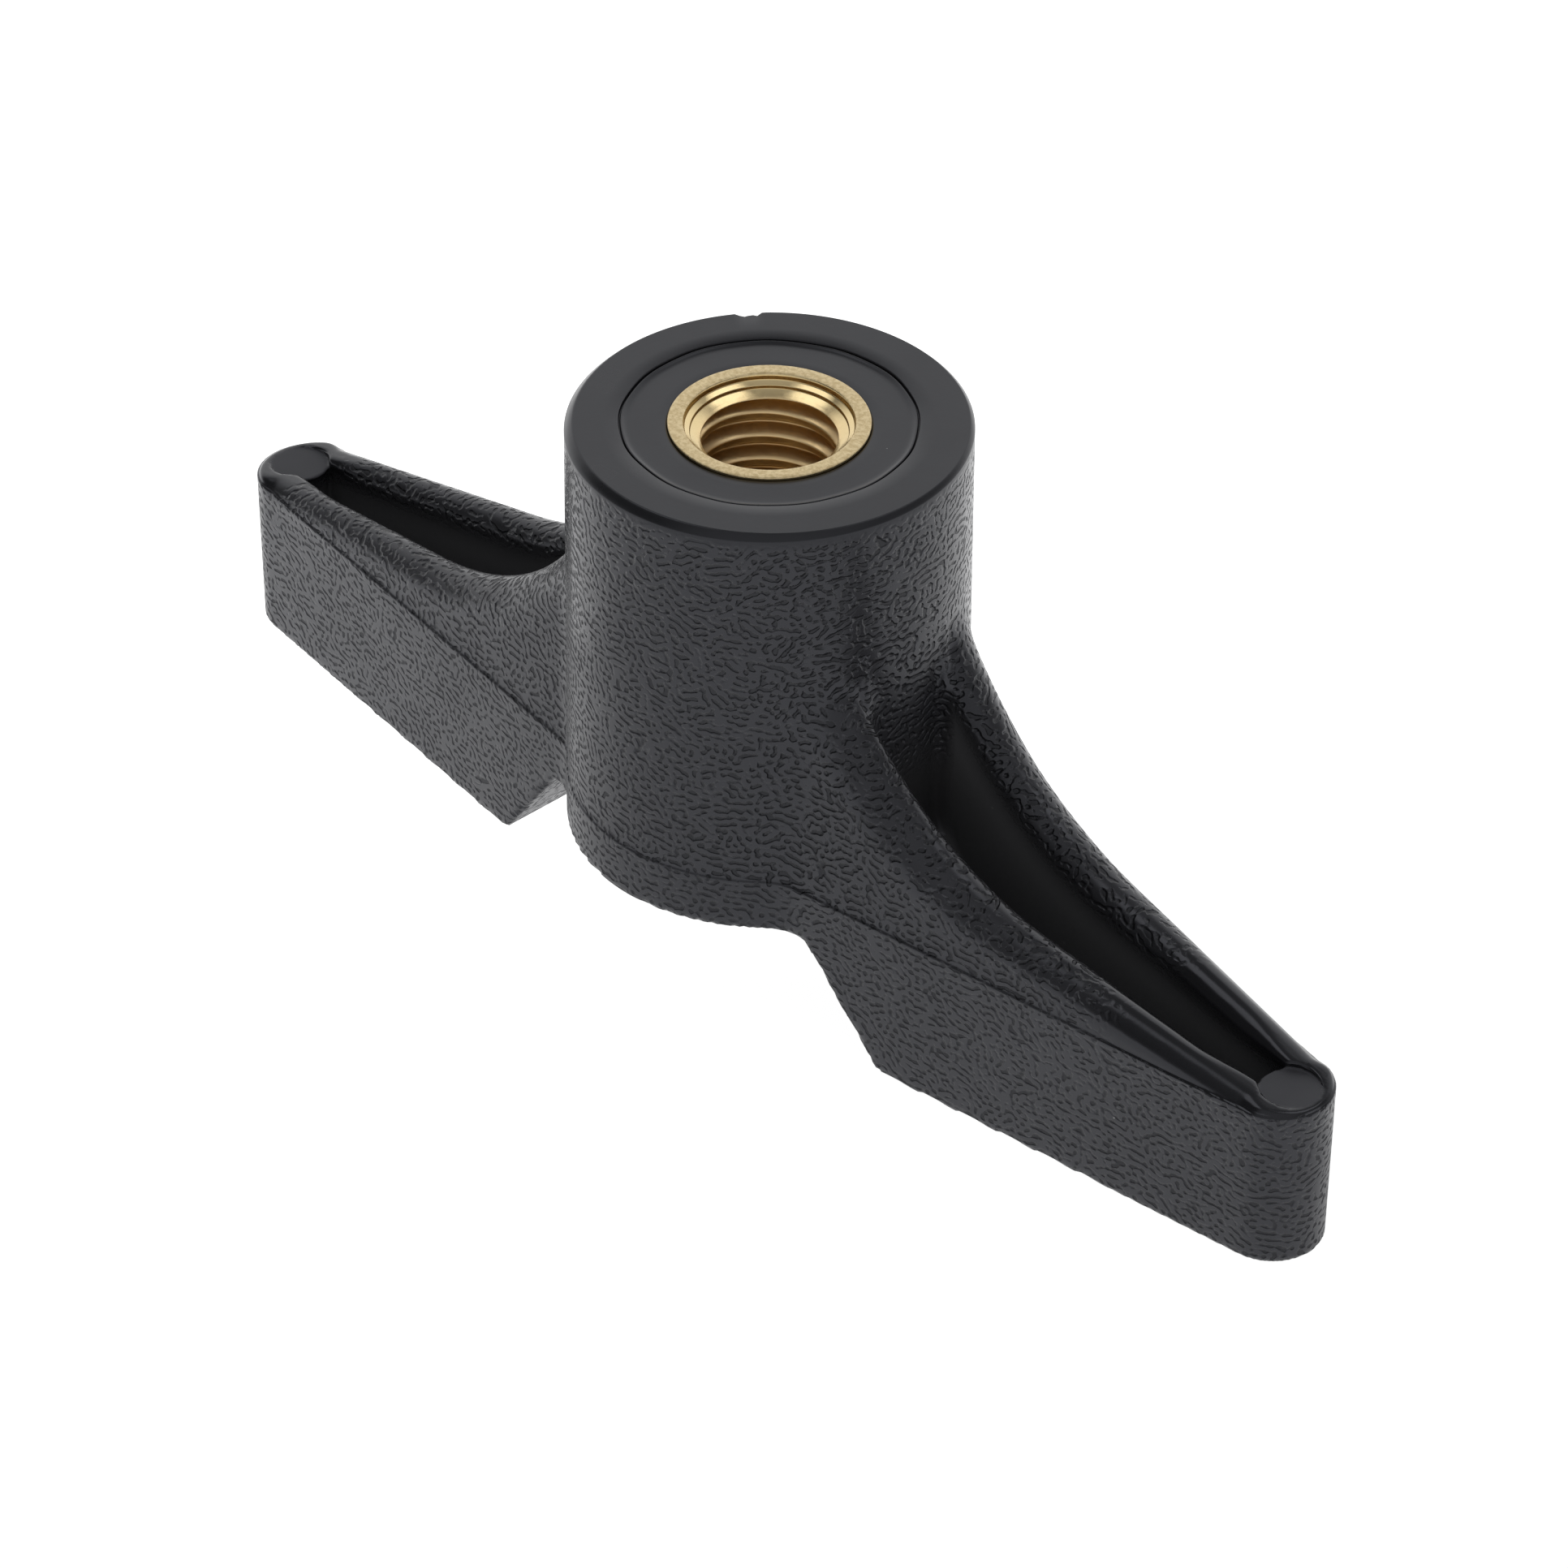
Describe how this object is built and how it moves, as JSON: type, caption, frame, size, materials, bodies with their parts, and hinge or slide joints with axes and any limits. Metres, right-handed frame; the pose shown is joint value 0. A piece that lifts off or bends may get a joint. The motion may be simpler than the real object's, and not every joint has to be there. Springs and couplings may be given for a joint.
{
  "type": "wing nut",
  "caption": "Moulded plastic wing nut: round boss with a blind brass threaded insert in its bearing face, and hollow tapering wings open on the bearing side.",
  "frame": {"origin": "centre of the bearing face, on the thread axis, at the mouth of the threaded hole", "axes": "+Z along the thread axis, out of the threaded mouth; X along the wings; Y across them"},
  "size_m": [0.0558, 0.0148, 0.0215],
  "materials": {
    "wing_body": "fine moulded wrinkle grain, semi-gloss on the bearing face and rims",
    "threaded_insert": "turned, bright"
  },
  "bodies": {
    "root": {"wing_body": "wing_body", "threaded_insert": "threaded_insert"}
  },
  "joints": []
}
